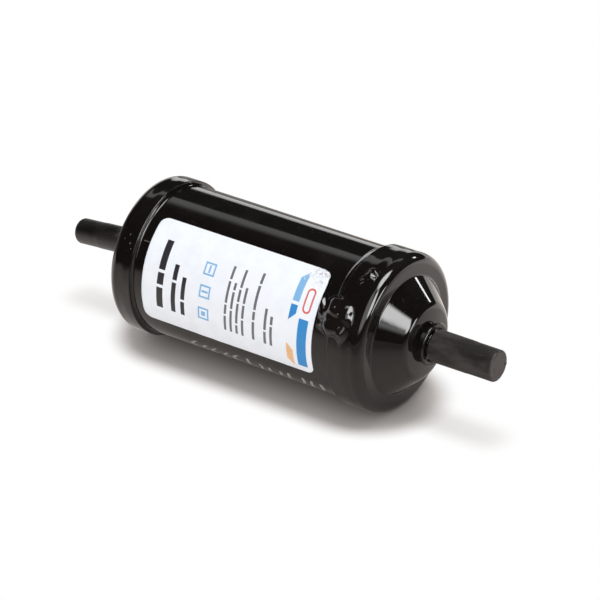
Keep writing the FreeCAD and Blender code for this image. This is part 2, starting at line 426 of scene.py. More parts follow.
def vinyl(name, painted_light_scale, rough, scuffed=0.0):
    """Soft moulded vinyl: matte, finely grained, rubbed paler along the cap, with dust in the grain, and
    scuffed pale next to the neck. Its whole colour is scaled darker as painted shade or paler as painted
    sheen, and its end face is painted paler as painted light."""
    mat, tree, shader = material(name, IOR=1.5)
    at = place(tree)
    rubbed = add(tree, "ShaderNodeMapping", {"Vector": at, "Scale": (0.35, 1, 1)}).outputs["Vector"]
    tone = noise(tree, rubbed, 160, 5, 0.6)
    # Painted light: the scale makes the whole cap darker as painted shade or paler as painted sheen.
    deep = tuple(0.0065 * painted_light_scale * c for c in (1.0, 0.84, 0.78))
    light = tuple(0.0270 * painted_light_scale * c for c in (1.0, 0.87, 0.81))
    colour = mixed(tree, ramp(tree, tone, 0.38, 0.64), deep, light)
    if scuffed:
        by_neck = ramp(tree, size_of(tree, at, "X"), *SCUFFED)
        scuff = maths(tree, "MULTIPLY", by_neck, ramp(tree, noise(tree, at, 420, 3, 0.6), 0.50, 0.62))
        colour = mixed(tree, maths(tree, "MULTIPLY", scuff, scuffed), colour, (0.075, 0.066, 0.060))
    dust = ramp(tree, noise(tree, at, 900, 2), 0.66, 0.74)
    colour = mixed(tree, dust, colour, (0.05, 0.046, 0.044))
    # Painted light: faces square to the vessel, the cap's end, are painted paler.
    facing = add(tree, "ShaderNodeNewGeometry").outputs["True Normal"]
    painted_end_light = ramp(tree, size_of(tree, facing, "X"), 0.94, 0.985)
    colour = mixed(tree, painted_end_light, colour, (0.058, 0.050, 0.047))
    tree.links.new(colour, shader.inputs["Base Color"])
    tree.links.new(ramp(tree, tone, 0.3, 0.7, rough, rough + 0.14), shader.inputs["Roughness"])
    normal = bump(tree, noise(tree, at, 260, 2), 0.00012)
    normal = bump(tree, noise(tree, at, 2600, 2), 0.00002, normal)
    tree.links.new(normal, shader.inputs["Normal"])
    return mat


def copper(name):
    """Drawn copper, painted over with the vessel next to the neck and tarnished beyond it."""
    mat, tree, shader = material(name, IOR=1.5)
    at = place(tree)
    ragged = maths(tree, "MULTIPLY", noise(tree, at, 300, 3), 0.003)
    edge = maths(tree, "ADD", size_of(tree, at, "X"), ragged)
    paint = ramp(tree, edge, *PAINT_END)
    tarnish = ramp(tree, noise(tree, at, 120, 5, 0.6), 0.38, 0.68)
    colour = mixed(tree, tarnish, (0.78, 0.36, 0.21), (0.42, 0.19, 0.12))
    colour = mixed(tree, paint, colour, (0.0045, 0.0044, 0.0043))
    tree.links.new(colour, shader.inputs["Base Color"])
    tree.links.new(maths(tree, "SUBTRACT", 1.0, paint), shader.inputs["Metallic"])
    tree.links.new(ramp(tree, tarnish, 0, 1, 0.2, 0.42), shader.inputs["Roughness"])
    drawn = add(tree, "ShaderNodeMapping", {"Vector": at, "Scale": (0.03, 1, 1)}).outputs["Vector"]
    tree.links.new(bump(tree, noise(tree, drawn, 1800, 3), 0.00001), shader.inputs["Normal"])
    return mat


def film(name, colour, worn=0.0):
    """Printed or bare plastic film on the shell, soiled and crazed at its worn corner."""
    mat, tree, shader = material(name, IOR=1.46)
    at = place(tree)
    grain = noise(tree, at, 180, 5, 0.6)
    shade = tuple(c * 0.955 for c in colour)
    tint = mixed(tree, ramp(tree, grain, 0.35, 0.7), colour, shade)
    if worn:
        corner = add(tree, "ShaderNodeVectorMath", {0: at, 1: WORN_CORNER}, operation="DISTANCE")
        near = ramp(tree, corner.outputs["Value"], 0.0085, 0.0015)
        flake = ramp(tree, noise(tree, at, 620, 4, 0.65, 0.6), 0.50, 0.60)
        rust = ramp(tree, noise(tree, at, 420, 3, 0.6, 0.4), 0.62, 0.68)
        for stain, stained in ((flake, (0.36, 0.34, 0.36)), (rust, (0.50, 0.33, 0.26))):
            share = maths(tree, "MULTIPLY", maths(tree, "MULTIPLY", near, stain), worn)
            tint = mixed(tree, share, tint, stained)
    tree.links.new(tint, shader.inputs["Base Color"])
    tree.links.new(ramp(tree, grain, 0.3, 0.7, 0.30, 0.42), shader.inputs["Roughness"])
    tree.links.new(bump(tree, noise(tree, at, 700, 2), 0.000015), shader.inputs["Normal"])
    return mat


ENAMEL = enamel("gloss_black_enamel")
CAP_ENAMEL = enamel("gloss_black_enamel_on_caps", heave=0.00045)
WELD_ENAMEL = enamel("enamel_over_weld", peel=0.8, scuffs=0.3)
# One vinyl for both caps, painted darker on the inlet's as painted shade and paler on the outlet's as painted
# sheen.
VINYL = {
    "inlet": vinyl("matte_black_vinyl_inlet", 0.42, 0.38, 0.7),
    "outlet": vinyl("matte_black_vinyl_outlet", 1.55, 0.54),
}
COPPER = copper("drawn_copper")
WHITE_FILM = film("white_label_film", (0.86, 0.897, 0.958), worn=0.8)
MARKER = film("grey_marker_paint", (0.40, 0.39, 0.375))
CHIPPED = film("chipped_enamel", (0.085, 0.078, 0.072))
BLACK_INK = film("black_ink", (0.030, 0.028, 0.034))
SOFT_INK = film("soft_black_ink", (0.16, 0.155, 0.17))
BLUE_INK = film("blue_ink", (0.035, 0.26, 0.62))
SKY_INK = film("sky_blue_ink", (0.22, 0.47, 0.76))
RED_INK = film("red_ink", (0.72, 0.16, 0.14))
ORANGE_INK = film("orange_ink", (0.86, 0.50, 0.26))


def dress(obj, mat, body, slot, *nodes):
    """Gives a piece its material and its body, and hides the CAD nodes that it stands for. The slot is not
    used.
    """
    obj.data.materials.append(mat)
    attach(obj, body)
    if nodes:
        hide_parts(*nodes)


# The vessel

def neck_bore(line):
    return line / 2 + TUBE_SLIP


def neck_mouth(line):
    return line / 2 + NECK_FLARE


def end_cap(name, side, edge, line):
    """Drawn cap from its skirt's edge to the flared neck, the outer face first and then the inner one."""
    bore = neck_bore(line)
    mouth = neck_mouth(line)
    outer = mouth + NECK_WALL
    fall = CONE_R - NOSE_R
    rise = NOSE_X - RING_X
    inward = CAP_WALL * (math.hypot(rise, fall) - fall) / rise
    inner_ring = RING_X - CAP_WALL
    inner_nose = NOSE_X - CAP_WALL
    return lathe(name, side, [
        (edge, SKIRT_R, LIP_ROUND),
        (RING_X, SKIRT_R, SHOULDER_ROUND),
        (RING_X, CONE_R, CONE_FOOT_ROUND),
        (NOSE_X, NOSE_R, NOSE_ROUND),
        (NECK_X, outer - NECK_DRAFT, 0),
        (RIM_X, outer, NECK_RIM_ROUND),
        (RIM_X, mouth, NECK_RIM_ROUND),
        (NECK_X - CAP_WALL + NECK_LAND, bore, 0),
        (NECK_X - CAP_WALL, bore, BORE_EDGE_ROUND),
        (inner_nose, NOSE_R - inward, NOSE_ROUND - CAP_WALL),
        (inner_ring, CONE_R - inward, CONE_FOOT_ROUND + CAP_WALL),
        (inner_ring, SKIRT_BORE, SHOULDER_ROUND - CAP_WALL),
        (edge, SKIRT_BORE, LIP_ROUND),
    ], 12)


shell = lathe("shell_tube", 1, [
    (-SHELL_END, SHELL_R - SHELL_WALL, 0),
    (-SHELL_END, SHELL_R - SHELL_BEVEL, 0),
    (-SHELL_END + SHELL_BEVEL, SHELL_R, 0),
    (SHELL_END - SHELL_BEVEL, SHELL_R, 0),
    (SHELL_END, SHELL_R - SHELL_BEVEL, 0),
    (SHELL_END, SHELL_R - SHELL_WALL, 0),
])
dress(shell, ENAMEL, "vessel", "black_enamel", "shell")
inlet_cap = end_cap("inlet_drawn_cap", -1, INLET_EDGE, INLET_LINE)
dress(inlet_cap, CAP_ENAMEL, "vessel", "black_enamel", "inlet_end_cap")
outlet_cap = end_cap("outlet_drawn_cap", 1, OUTLET_EDGE, OUTLET_LINE)
dress(outlet_cap, CAP_ENAMEL, "vessel", "black_enamel", "outlet_end_cap")


# Tubes, braze and dust caps

def bend_arc(bend):
    return math.radians(bend) * BEND_RADIUS


def stub_tube(name, side, line, reach, bend):
    """Copper stub, drawn straight and then bent, with a socket pushed out at its end."""
    outer = line / 2
    inner = outer - TUBE_WALL
    socket_bore = outer + SOCKET_SLIP
    socket_outer = socket_bore + TUBE_WALL
    start = NOSE_X - CAP_WALL - TUBE_INSIDE
    arc = bend_arc(bend)
    end = RIM_X + reach + arc
    socket = end - SOCKET_DEPTH
    taper = socket - SOCKET_TAPER
    bend_steps = [BEND_X + arc * k / 8 for k in range(9)] if bend else []
    return lathe(name, side, [
        (start, inner, TUBE_EDGE_ROUND),
        (start, outer, TUBE_EDGE_ROUND),
        *[(x, outer, 0) for x in bend_steps],
        (taper, outer, TAPER_ROUND),
        (socket, socket_outer, TAPER_ROUND),
        (end, socket_outer, TUBE_EDGE_ROUND),
        (end, socket_bore, TUBE_EDGE_ROUND),
        (socket, socket_bore, 0),
        (taper, inner, TAPER_ROUND),
        *[(x, inner, 0) for x in reversed(bend_steps)],
    ], 8, 128, bend)


def braze_ring(name, side, line):
    """Silver braze between the tube and the flared mouth, with an uneven hollow surface."""
    bore = neck_bore(line)
    bottom = NECK_X - CAP_WALL + NECK_LAND
    fill = BRAZE_FILL * (RIM_X - bottom)
    wall = BRAZE_FILL * (neck_mouth(line) - bore)
    turns, steps = 160, 14
    angle = full_turn(turns)
    t = np.linspace(0, 1, steps)[:, None]
    lift = 0.10 * np.sin(3 * angle + 0.7) + 0.05 * np.sin(7 * angle + 2.1)
    x = bottom + fill + BRAZE_CLIMB * t ** 1.6 + lift[None, :] * (0.4 + 0.6 * t)
    r = bore + wall * (1 - t) - 0.3 * wall * np.sin(math.pi * t) - TUBE_SLIP * t
    rows = np.concatenate([
        around(side * x, r, angle),
        around(side * np.full((2, turns), bottom), np.array([[line / 2], [bore]]), angle),
    ])
    return new_object(name, rows.reshape(-1, 3), ring_faces(len(rows), turns, side))


def dust_cap(name, side, line, reach, bend, wall, end_round, nib_angle):
    """Moulded vinyl cap with a rolled mouth, a closed end and the nib that the mould left."""
    bore = line / 2 + SOCKET_SLIP + TUBE_WALL + DUST_CAP_SLIP
    outer = bore + wall
    mouth = RIM_X + DUST_CAP_GAP - bend_arc(bend)
    floor = RIM_X + reach + DUST_CAP_PLAY
    tip = floor + DUST_CAP_END
    end_outer = outer - 0.2
    body = lathe(name, side, [
        (tip, 0, 0),
        (floor, 0, 0),
        (floor, bore, 0.3),
        (mouth, bore, 0.2),
        (mouth, outer, 0.3),
        (floor - SOCKET_DEPTH - SOCKET_TAPER, outer - 0.05, 1.0),
        (floor - SOCKET_DEPTH, end_outer + 0.03, 1.0),
        (tip, end_outer, end_round),
        (tip - 0.08, end_outer - end_round - 0.6, 0.3),
        (tip - 0.12, end_outer - end_round - 1.2, 0.5),
    ], 10, 160)
    angle = math.radians(nib_angle)
    out = end_outer - max(end_round, 1.3)
    nib = lathe(name + "_nib", side, [
        (tip - 0.3, 0, 0),
        (tip - 0.3, NIB_R, 0.2),
        (tip + 0.02, NIB_R - 0.12, 0.2),
        (tip + 0.24, NIB_R - 0.3, 0.15),
        (tip + 0.28, 0, 0),
    ], 6, 40)
    nib.data.transform(Matrix.Translation(Vector(around(0.0, out, angle)) * MM))
    centre = Matrix.Translation(Vector((side * BEND_X, 0, -BEND_RADIUS)) * MM)
    turn = centre @ Matrix.Rotation(math.radians(side * bend), 4, "Y") @ centre.inverted()
    for piece in (body, nib):
        piece.data.transform(turn)
    return body, nib


for end, side, line, reach, bend, wall, end_round, nib_angle in (
    ("inlet", -1, INLET_LINE, INLET_REACH, INLET_BEND, 0.8, 2.0, 80.0),
    ("outlet", 1, OUTLET_LINE, OUTLET_REACH, 0.0, 1.1, 0.9, 190.0),
):
    tube = stub_tube(end + "_stub_tube", side, line, reach, bend)
    dress(tube, COPPER, "vessel", "copper", end + "_tube")
    braze = braze_ring(end + "_braze_fillet", side, line)
    dress(braze, WELD_ENAMEL, "vessel", "painted_braze", end + "_braze")
    cap, nib = dust_cap(end + "_vinyl_cap", side, line, reach, bend, wall, end_round, nib_angle)
    dress(cap, VINYL[end], end + "_cap_body", "black_vinyl", end + "_dust_cap")
    dress(nib, VINYL[end], end + "_cap_body", "black_vinyl")


# Welds

# How deep the foot of a weld lies under the shell's face, and how far apart its ripples are
WELD_SINK = 0.06
RIPPLE_PITCH = 2.4


def weld_bead(edge, leg, low_leg, swelling, wander, seed):
    """Rippled bead from the shell up to the skirt's edge: rows of points round the shell, at the outlet.
    Its leg is longer on the upper side than below and wanders by a share, and its face swells outward."""
    turns, steps = 720, 12
    angle = full_turn(turns)
    t = np.linspace(0, 1, steps)[:, None]
    s = angle * SHELL_R
    ripple = 0.5 + 0.5 * np.cos(2 * math.pi * s / RIPPLE_PITCH + 0.8 * waves(s, 0 * s, seed, 30))
    uneven = waves(s, 0 * s, seed + 1, 42)
    high = np.clip((np.sin(angle) - 0.3) / 0.6, 0, 1)
    reach = (low_leg + (leg - low_leg) * high ** 2 * (3 - 2 * high)) * (1 + wander * uneven)
    foot = SHELL_R - WELD_SINK
    x = edge + 0.05 - (reach[None, :] + 0.05) * (1 - t)
    rise = SKIRT_R - LIP_ROUND - SHELL_R
    hump = np.sin(math.pi * t)
    r = foot + rise * t + swelling * hump - 0.015 * ripple[None, :] * hump
    return x, r, angle


def bead_mesh(side, x, r, angle):
    """Vertices and faces of a closed bead over its rows of points, mirrored for the inlet."""
    rows = np.concatenate([
        around(side * x, r, angle),
        around(side * np.stack([x[-1], x[0]]), SHELL_R - 2 * WELD_SINK, np.stack([angle, angle])),
    ])
    return rows.reshape(-1, 3), ring_faces(len(rows), len(angle), side)


# A sheet of lumps: its grid, how deep its face hides between the lumps, and how deep its back lies
LUMP_GRID = 0.15
LUMP_SINK = 0.30
LUMP_BACK = 0.9
# How widely the lumps melt into each other, and into the shell and the skirt
LUMP_MELT = 1.0
SKIN_MELT = 1.4

# Each lump: distance past the skirt's edge, angle above the front in degrees, half length along the
# vessel, half width round it, and height
LUMPS = [
    (1.8, 34.0, 5.4, 5.0, 2.9),
    (0.8, 24.6, 5.0, 4.6, 2.6),
    (6.0, 31.0, 3.2, 4.6, 2.3),
    (5.0, 21.5, 3.4, 4.4, 2.2),
    (-3.2, 29.0, 3.4, 3.4, 2.2),
    (-6.6, 36.5, 1.1, 1.5, 0.9),
    (-6.8, 33.0, 1.1, 1.7, 1.0),
    (-6.6, 29.6, 1.1, 1.5, 1.0),
    (-5.4, 26.6, 1.4, 1.2, 1.0),
]
SPOTS = [
    (7.8, 69.0, 1.9, 1.3, 1.3),
    (7.0, 65.0, 1.7, 1.5, 1.1),
    (6.4, 61.0, 1.5, 1.5, 1.0),
    (8.2, 62.0, 1.4, 1.4, 0.9),
]
# Each drop of spatter: distance past the skirt's edge, angle above the front, and radius
SPATTER = [(1.2, 35.5, 0.5), (3.6, 31.5, 0.5), (5.4, 24.0, 0.5), (5.0, 19.5, 0.4)]


def soft_max(a, b, blend):
    """The higher of two heights, with the corner between them rounded."""
    return (a + b + np.sqrt((a - b) ** 2 + blend ** 2)) / 2


def lump_sheet(low_x, high_x, low_angle, high_angle, lumps, seed):
    """Closed sheet of weld metal, hidden just under the shell and the skirt, that rises over them at its
    lumps and melts into them."""
    cols = int((high_x - low_x) / LUMP_GRID)
    rows = int(math.radians(high_angle - low_angle) * SKIRT_R / LUMP_GRID)
    x, angle = np.meshgrid(
        np.linspace(low_x, high_x, cols),
        np.radians(np.linspace(low_angle, high_angle, rows)),
    )
    s = angle * SKIRT_R
    past = x - OUTLET_EDGE
    step_up = np.clip(past / 1.5 + 1, 0, 1)
    base = SHELL_R + (SKIRT_R - SHELL_R) * (3 * step_up ** 2 - 2 * step_up ** 3) - LUMP_SINK
    base = np.where(past > 0, SKIRT_R - LUMP_SINK, base)
    metal = np.full_like(x, SHELL_R - 4.0)
    wander_x = x + 0.8 * waves(x, s, seed, 9.0, 1)
    wander_s = s + 0.8 * waves(x, s, seed + 1, 8.0, 1)
    for at, mid, half_x, half_s, height in lumps:
        seat = SHELL_R if at < 0 else SKIRT_R
        d = ((wander_x - OUTLET_EDGE - at) / half_x) ** 2
        d += ((wander_s - math.radians(mid) * SKIRT_R) / half_s) ** 2
        metal = soft_max(metal, seat + height * (1 - d), LUMP_MELT)
    r = soft_max(base, metal + 0.10 * waves(x, s, seed + 2, 4.4, 1), SKIN_MELT)
    for at, mid, size in SPATTER:
        d = np.hypot(past - at, s - math.radians(mid) * SKIRT_R) / size
        r = r + 0.7 * size * np.sqrt(np.clip(1 - d ** 2, 0, 1))
    edge = np.minimum(np.minimum(x - low_x, high_x - x), np.minimum(s - s.min(), s.max() - s))
    r = r - 0.5 * np.clip(1 - edge / 0.8, 0, 1)
    under = np.where(past < 0, SHELL_R, SKIRT_R) - LUMP_BACK
    verts = np.concatenate([around(x, r, angle).reshape(-1, 3), around(x, under, angle).reshape(-1, 3)])
    return verts, sheet_faces(rows, cols)


inlet_bead = new_object("inlet_weld_bead", *bead_mesh(-1, *weld_bead(INLET_EDGE, 0.9, 0.9, -0.30, 0.02, 21)))
dress(inlet_bead, WELD_ENAMEL, "vessel", "black_enamel", "inlet_weld")
outlet_bead = new_object("outlet_weld_bead", *joined([
    bead_mesh(1, *weld_bead(OUTLET_EDGE, 3.2, 1.3, 0.10, 0.10, 31)),
    lump_sheet(39.5, 59.0, 6.0, 52.0, LUMPS, 41),
    lump_sheet(51.0, 59.0, 54.0, 75.0, SPOTS, 51),
]))
dress(outlet_bead, WELD_ENAMEL, "vessel", "black_enamel", "outlet_weld")


# The label and its print

def corner_limits(s, low_x, high_x, low_s, high_s, radius):
    """Left and right end of each row of a sheet with rounded corners."""
    inset = np.zeros_like(s)
    for edge in (s - low_s, high_s - s):
        near = np.clip(radius - edge, 0, radius)
        inset = np.maximum(inset, radius - np.sqrt(np.maximum(radius ** 2 - near ** 2, 0)))
    return low_x + inset, high_x - inset


def rows_for(low_s, high_s, radius, step):
    """Rows across a sheet, set closer where its corners turn."""
    turn = radius * (1 - np.cos(np.linspace(0, math.pi / 2, 12)))
    middle = np.arange(low_s + radius, high_s - radius, step)[1:]
    return np.concatenate([low_s + turn, middle, high_s - turn[::-1]])


def sheet_lift(x, s):
    """How far the label stands off the shell: flat but for the worn corner and the lower edge."""
    corner = np.exp(-(((x - 36.5) / 3.6) ** 2 + ((s - 43.5) / 3.4) ** 2))
    crease = np.exp(-(((x - 33.0) / 5.0) ** 2 + ((s - 43.0) / 3.0) ** 2))
    lower = np.exp(-(((x + 11) / 13) ** 2 + ((s - 0.0) / 2.2) ** 2))
    lift = 0.34 * corner * (1 + 0.8 * waves(x, s, 5, 4.2))
    lift = lift + 0.10 * crease * np.abs(waves(x, s, 6, 3.0))
    lift = lift + 0.10 * lower * (1 + 0.5 * waves(x, s, 7, 9.0))
    return lift + 0.010 * waves(x, s, 8, 16.0)


def sheet_grid(low_x, high_x, low_s, high_s, radius, step):
    """Grid of sheet coordinates over a rectangle with rounded corners."""
    s = rows_for(low_s, high_s, radius, step)
    left, right = corner_limits(s, low_x, high_x, low_s, high_s, radius)
    u = np.linspace(0, 1, max(int((high_x - low_x) / step) + 1, 3))[None, :]
    x = left[:, None] + (right - left)[:, None] * u
    return x, np.repeat(s[:, None], x.shape[1], 1)


LABEL_FACE = SHELL_R + LABEL_BACK + LABEL_THICK
label_x, label_s = sheet_grid(LABEL_X[0], LABEL_X[1], 0.0, LABEL_WIDTH, LABEL_CORNER, 0.5)
worn = np.exp(-(((label_x - 38.0) / 5.5) ** 2 + ((label_s - 45.0) / 5.5) ** 2))
label_x = label_x + worn * (0.35 * waves(label_x, label_s, 9, 5.0) - 0.25)
label_s = label_s + worn * (0.35 * waves(label_x, label_s, 10, 4.0) - 0.25)
lift = sheet_lift(label_x, label_s)
label_under = SHELL_R + LABEL_BACK + 0.8 * lift
label = new_object("wrapped_label", *slab(label_x, label_s, LABEL_FACE + lift, label_under))
dress(label, WHITE_FILM, "vessel", "label_film", "label")


def block(x, s, length, width, radius=0.15):
    """Printed block centred on x and s: length round the vessel, width along it."""
    return sheet_grid(x - width / 2, x + width / 2, s - length / 2, s + length / 2, radius, 0.8)


def slanted(x, low, high):
    """Printed shape between two lines along the vessel, from the low and high edge at its two ends."""
    u = np.linspace(0, 1, 9)[None, :]
    v = np.linspace(0, 1, 9)[:, None]
    lower = low[0] * (1 - u) + low[1] * u
    upper = high[0] * (1 - u) + high[1] * u
    return x[0] * (1 - u) + x[1] * u + 0 * v, lower * (1 - v) + upper * v


def frame_of(x, s, length, width, line):
    """Hollow rectangle from four bars."""
    return [
        block(x - (width - line) / 2, s, length, line, 0.05),
        block(x + (width - line) / 2, s, length, line, 0.05),
        block(x, s - (length - line) / 2, line, width - 2 * line, 0.05),
        block(x, s + (length - line) / 2, line, width - 2 * line, 0.05),
    ]


def bars(x, lengths, gap, width):
    """Row of blocks round the vessel, in place of a printed line."""
    shapes, at = [], PRINT_LOW
    for length in lengths:
        shapes.append(block(x, at + length / 2, length, width, 0.12))
        at += length + gap
    return shapes


def dress_print(name, mat, shapes, base=LABEL_FACE, thick=PRINT_THICK):
    """Makes thin printed or painted shapes one piece, on the label or straight on the enamel."""
    parts = []
    for x, s in shapes:
        lifted = base + (sheet_lift(x, s) if base == LABEL_FACE else 0)
        parts.append(slab(x, s, lifted + thick, lifted - 0.03))
    obj = new_object(name, *joined(parts), smooth=False)
    dress(obj, mat, "vessel", "label_film")


# Columns of the label's print along the vessel
MARK_X = -14.5
BAND_X = 34.4
SLANT_X = (27.0, 30.2)

dress_print("label_heading_print", BLACK_INK, [
    *bars(-37.0, [9.0, 5.0, 12.5], 1.3, 3.2),
    *bars(-30.0, [13.0, 6.5], 1.1, 2.2),
    *bars(-25.2, [6.0, 9.5], 1.0, 2.0),
])
dress_print("label_line_print", SOFT_INK, [
    *bars(-3.5, [6.5, 4.0, 9.0, 5.5], 0.8, 1.15),
    *bars(-0.6, [9.5, 7.0, 3.0], 0.8, 1.15),
    *bars(2.3, [4.0, 8.5, 5.0, 7.5], 0.8, 1.15),
    *bars(5.2, [7.0, 5.5, 6.5], 0.8, 1.15),
    *bars(10.6, [8.0, 3.5, 10.0, 4.5], 0.8, 1.25),
    *bars(16.4, [5.5, 9.0], 0.8, 1.25),
    *bars(19.4, [8.5, 3.5], 0.8, 1.25),
])
dress_print("label_mark_print", SKY_INK, [
    *frame_of(MARK_X, 12.0, 5.4, 5.4, 0.75),
    *frame_of(MARK_X, 21.5, 5.4, 5.4, 0.75),
    *frame_of(MARK_X, 31.0, 5.4, 5.4, 0.75),
    block(MARK_X, 12.0, 2.0, 2.0),
    block(MARK_X, 21.5, 0.9, 3.2),
    block(MARK_X, 31.0, 3.2, 0.9),
    slanted(SLANT_X, (30.0, 30.0), (39.8, 43.0)),
])
dress_print("label_band_print", BLUE_INK, [
    block(BAND_X, 13.4, 21.0, 4.6, 0.3),
    slanted(SLANT_X, (22.0, 25.2), (28.6, 28.6)),
])
dress_print("label_pill_print", RED_INK, [block(BAND_X, 31.6, 10.5, 4.0, 1.9)])
dress_print("label_pill_gap_print", WHITE_FILM, [block(BAND_X, 31.6, 8.8, 2.4, 1.15)], thick=0.020)
dress_print("label_dash_print", ORANGE_INK, [slanted(SLANT_X, (5.0, 2.0), (12.5, 9.5))])


# Marker strokes under the label, and chips in the enamel

def stroke(x, low_s, high_s, lean, width, bow=0.0):
    """Paint stroke from the low edge to the high one, leaning or bowed along the vessel."""
    v = np.linspace(0, 1, 26)[:, None]
    u = np.linspace(-0.5, 0.5, 5)[None, :]
    taper = width * (0.5 + 0.5 * np.sin(math.pi * (v * 0.9 + 0.05)) ** 0.5)
    return x + lean * v + bow * np.sin(math.pi * v) + u * taper, low_s + (high_s - low_s) * v + 0 * u


dress_print("marker_strokes", MARKER, [
    stroke(-27.0, -15.2, -8.0, 3.4, 1.5, -2.0),
    stroke(-21.6, -14.8, -9.0, 3.0, 1.3, -1.6),
    stroke(-16.6, -16.0, -8.6, 3.0, 1.5, -2.2),
    stroke(-10.4, -15.4, -9.0, 2.6, 1.4, -1.8),
    stroke(-5.2, -15.6, -7.6, 2.8, 1.5, -2.0),
    stroke(0.6, -16.2, -7.2, 2.2, 1.5),
    stroke(5.6, -16.0, -8.4, 3.0, 1.3, 1.2),
    stroke(11.0, -16.2, -9.0, 2.2, 1.5),
    stroke(15.4, -15.0, -8.6, 3.4, 1.3, 1.0),
    stroke(21.0, -16.2, -7.4, 2.4, 1.6),
    stroke(27.4, -15.4, -7.0, 3.2, 1.6, 0.8),
    stroke(32.2, -16.0, -7.4, 2.6, 1.5),
    stroke(37.0, -15.6, -7.2, 2.4, 1.6, 0.8),
], base=SHELL_R + 0.001, thick=0.015)
dress_print("shell_scratch", CHIPPED, [block(-47.9, 33.6, 0.45, 3.6, 0.1)], base=SHELL_R + 0.001, thick=0.01)
dress_print("skirt_chips", CHIPPED, [
    block(-55.7, 33.9, 0.8, 0.5, 0.2),
    block(-54.4, 30.6, 0.7, 0.8, 0.3),
    block(-53.3, 28.6, 0.5, 0.5, 0.2),
    block(-57.6, 31.8, 0.4, 0.4, 0.15),
], base=SKIRT_R + 0.001, thick=0.01)


# Floor, light and camera

def direction(azimuth, elevation):
    a, e = math.radians(azimuth), math.radians(elevation)
    return Vector((math.cos(a) * math.cos(e), math.sin(a) * math.cos(e), math.sin(e)))


def dot(tree, vector, along):
    return add(tree, "ShaderNodeVectorMath", {0: vector, 1: along}, operation="DOT_PRODUCT").outputs["Value"]


def far_from_line(tree, past_end, aside):
    """Distance on the floor from a line along the vessel, rounded at the line's ends."""
    beyond = maths(tree, "MAXIMUM", past_end)
    flat = add(tree, "ShaderNodeCombineXYZ", {"X": beyond, "Y": aside}).outputs["Vector"]
    return add(tree, "ShaderNodeVectorMath", {0: flat}, operation="LENGTH").outputs["Value"]


def towards_right(azimuth):
    """Level direction square to an azimuth: positive along it is to the right of that azimuth."""
    return Vector((math.sin(math.radians(azimuth)), -math.cos(math.radians(azimuth)), 0))


def patch(tree, ray, corners, softness):
    """Softbox in the sky for reflections: 1 inside its corners (azimuth, elevation), 0 outside. Each
    edge starts at its corner and has its own softness in degrees."""
    points = [direction(*corner) for corner in corners]
    middle = sum(points, Vector())
    inside = 1.0
    for start, end, soft in zip(points, points[1:] + points[:1], softness):
        inward = start.cross(end).normalized()
        if inward.dot(middle) < 0:
            inward.negate()
        half = math.radians(soft) / 2
        inside = maths(tree, "MULTIPLY", ramp(tree, dot(tree, ray, inward), -half, half), inside)
    return inside


FLOOR_HALF = 3.0
# Level direction from the object towards the camera
FRONT = (0.588, -0.809, 0.0)
LEFT_REAR = (-1.0, 3.0, 0.0)
# Lines on the floor, in metres, that the shade under the vessel and under each tube is measured from
VESSEL_LINE = 0.045
TUBE_LINE_MIDDLE = 0.090
TUBE_LINE = 0.012

floor_mesh = bpy.data.meshes.new("floor")
square = ((-1, -1), (1, -1), (1, 1), (-1, 1))
floor_corners = [(x * FLOOR_HALF, y * FLOOR_HALF, FLOOR_Z * MM) for x, y in square]
floor_mesh.from_pydata(floor_corners, [], [(0, 1, 2, 3)])
floor = bpy.data.objects.new("floor", floor_mesh)
bpy.context.scene.collection.objects.link(floor)
floor_mat = bpy.data.materials.new("white_floor")
floor_mat.use_nodes = True
tree = floor_mat.node_tree
tree.nodes.clear()
rays = add(tree, "ShaderNodeLightPath")
at = add(tree, "ShaderNodeNewGeometry").outputs["Position"]
white = add(tree, "ShaderNodeEmission", {"Color": (1, 1, 1, 1), "Strength": 1.0})

# The shade under the vessel: darker and warmer next to it, and gone where the white floor begins
across = add(tree, "ShaderNodeSeparateXYZ", {"Vector": at}).outputs
from_middle = maths(tree, "ABSOLUTE", across["X"])
away = far_from_line(tree, maths(tree, "SUBTRACT", from_middle, VESSEL_LINE), across["Y"])
shade = mixed(tree, ramp(tree, away, 0.004, 0.030), (0.29, 0.267, 0.250), (0.80, 0.750, 0.715))
paper = add(tree, "ShaderNodeBsdfDiffuse", {"Color": shade})
from_tube = maths(tree, "ABSOLUTE", maths(tree, "SUBTRACT", from_middle, TUBE_LINE_MIDDLE))
tube_away = far_from_line(tree, maths(tree, "SUBTRACT", from_tube, TUBE_LINE), across["Y"])
by_tube = ramp(tree, tube_away, 0.002, 0.015, 0.55, 1.0)
fade = maths(tree, "MULTIPLY", ramp(tree, away, 0.025, 0.038), by_tube)
seen = add(tree, "ShaderNodeMixShader", {0: fade, 1: paper.outputs[0], 2: white.outputs[0]})

# The floor as the gloss reflects it: painted shade in front, a painted glow behind, and both painted darker
# at the left rear
front = dot(tree, at, FRONT)
painted_front_shade = ramp(tree, front, -0.03, 0.05, 0.95, 0.68)
tone = maths(tree, "MULTIPLY", painted_front_shade, ramp(tree, front, 0.04, 0.30, 1.0, 0.30))
past_corner = ramp(tree, dot(tree, at, LEFT_REAR), 0.12, 0.20)
dim = maths(tree, "MULTIPLY", ramp(tree, across["X"], -0.095, -0.115), past_corner)
undimmed = maths(tree, "SUBTRACT", 1.0, maths(tree, "MULTIPLY", dim, 0.75))
tone = maths(tree, "MULTIPLY", tone, undimmed)
painted_glow = maths(tree, "MULTIPLY", ramp(tree, front, 0.0, -0.06, 0.0, 0.45), undimmed)
bright = add(tree, "ShaderNodeBsdfDiffuse", {"Color": mixed(tree, tone, (0, 0, 0), (1.0, 0.92, 0.86))})
rear = add(tree, "ShaderNodeEmission", {"Color": (1.0, 0.94, 0.9, 1), "Strength": painted_glow})
mirrored = add(tree, "ShaderNodeAddShader", {0: bright.outputs[0], 1: rear.outputs[0]})
